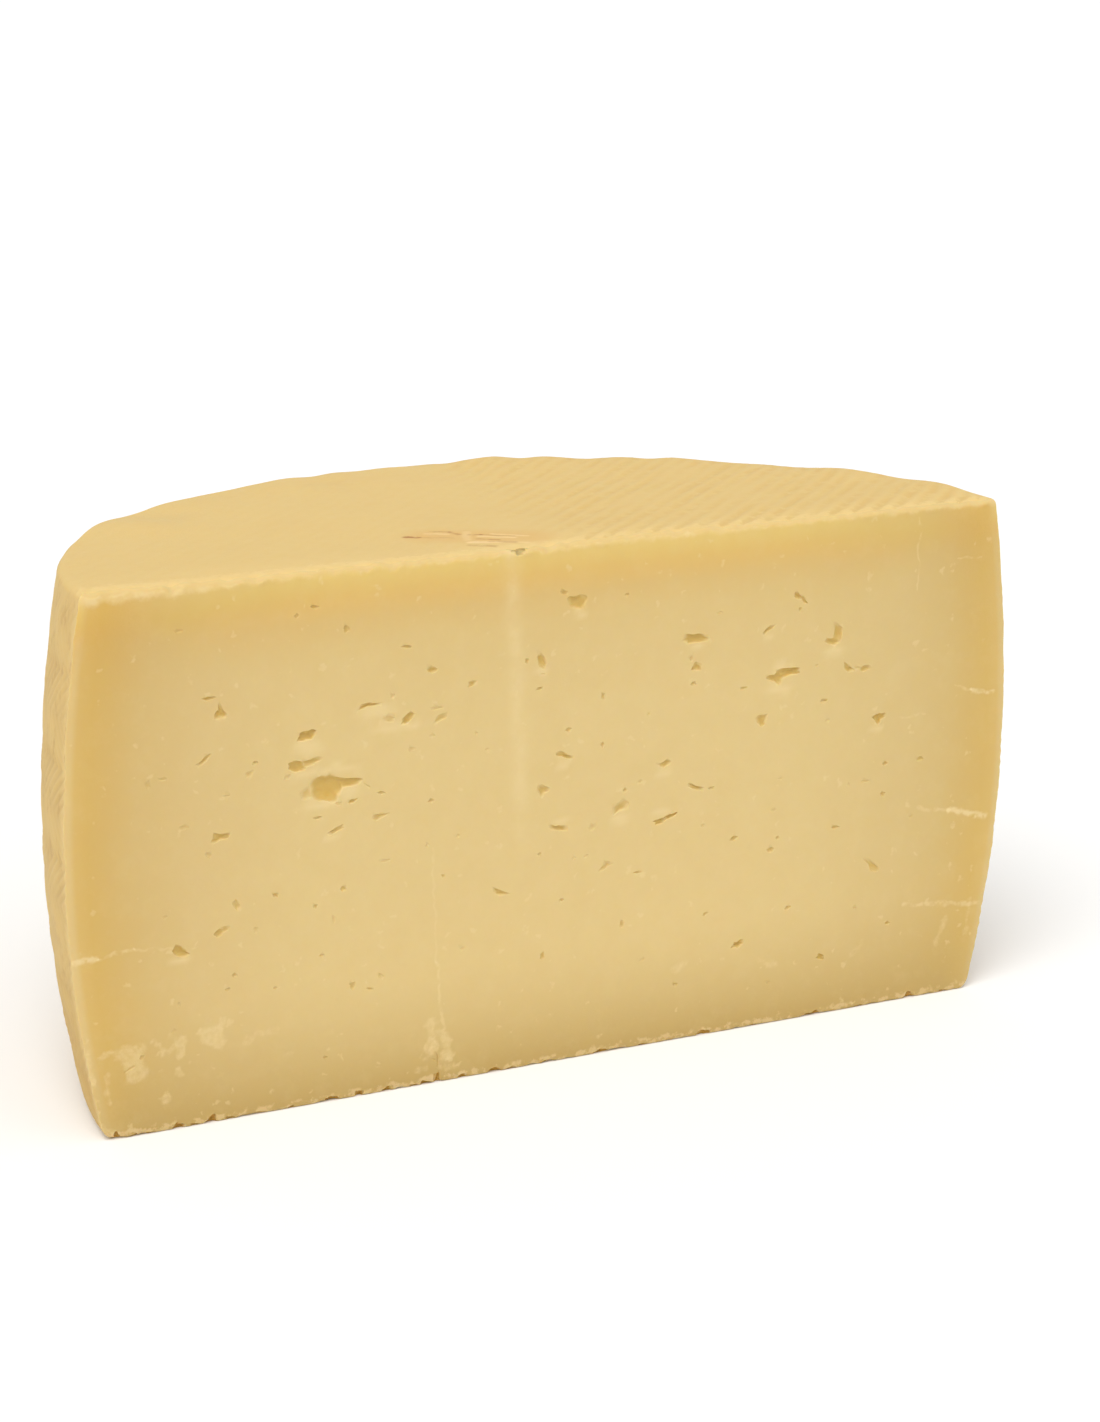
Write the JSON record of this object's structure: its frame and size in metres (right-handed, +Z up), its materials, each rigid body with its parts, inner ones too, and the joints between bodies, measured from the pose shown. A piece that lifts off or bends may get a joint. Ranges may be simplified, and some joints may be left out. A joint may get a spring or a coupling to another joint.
{
  "type": "half cheese wheel",
  "caption": "Half of a pressed cheese wheel, cut through the middle: firm pale paste with small irregular eyes inside a rind printed by a plaited belt.",
  "frame": {"origin": "middle of the half wheel's box, on the face it rests on", "axes": "+X along the cut from left to right, +Y from the cut face back into the cheese, +Z up"},
  "size_m": [0.2002, 0.1002, 0.1055],
  "materials": {
    "paste": "firm, slightly waxy cut paste, straw yellow, deeper gold next to the rind",
    "rind": "dry natural rind, pale tan, with the print of a plaited belt and a pressing board"
  },
  "bodies": {
    "root": {"half_wheel": "paste"}
  },
  "joints": []
}
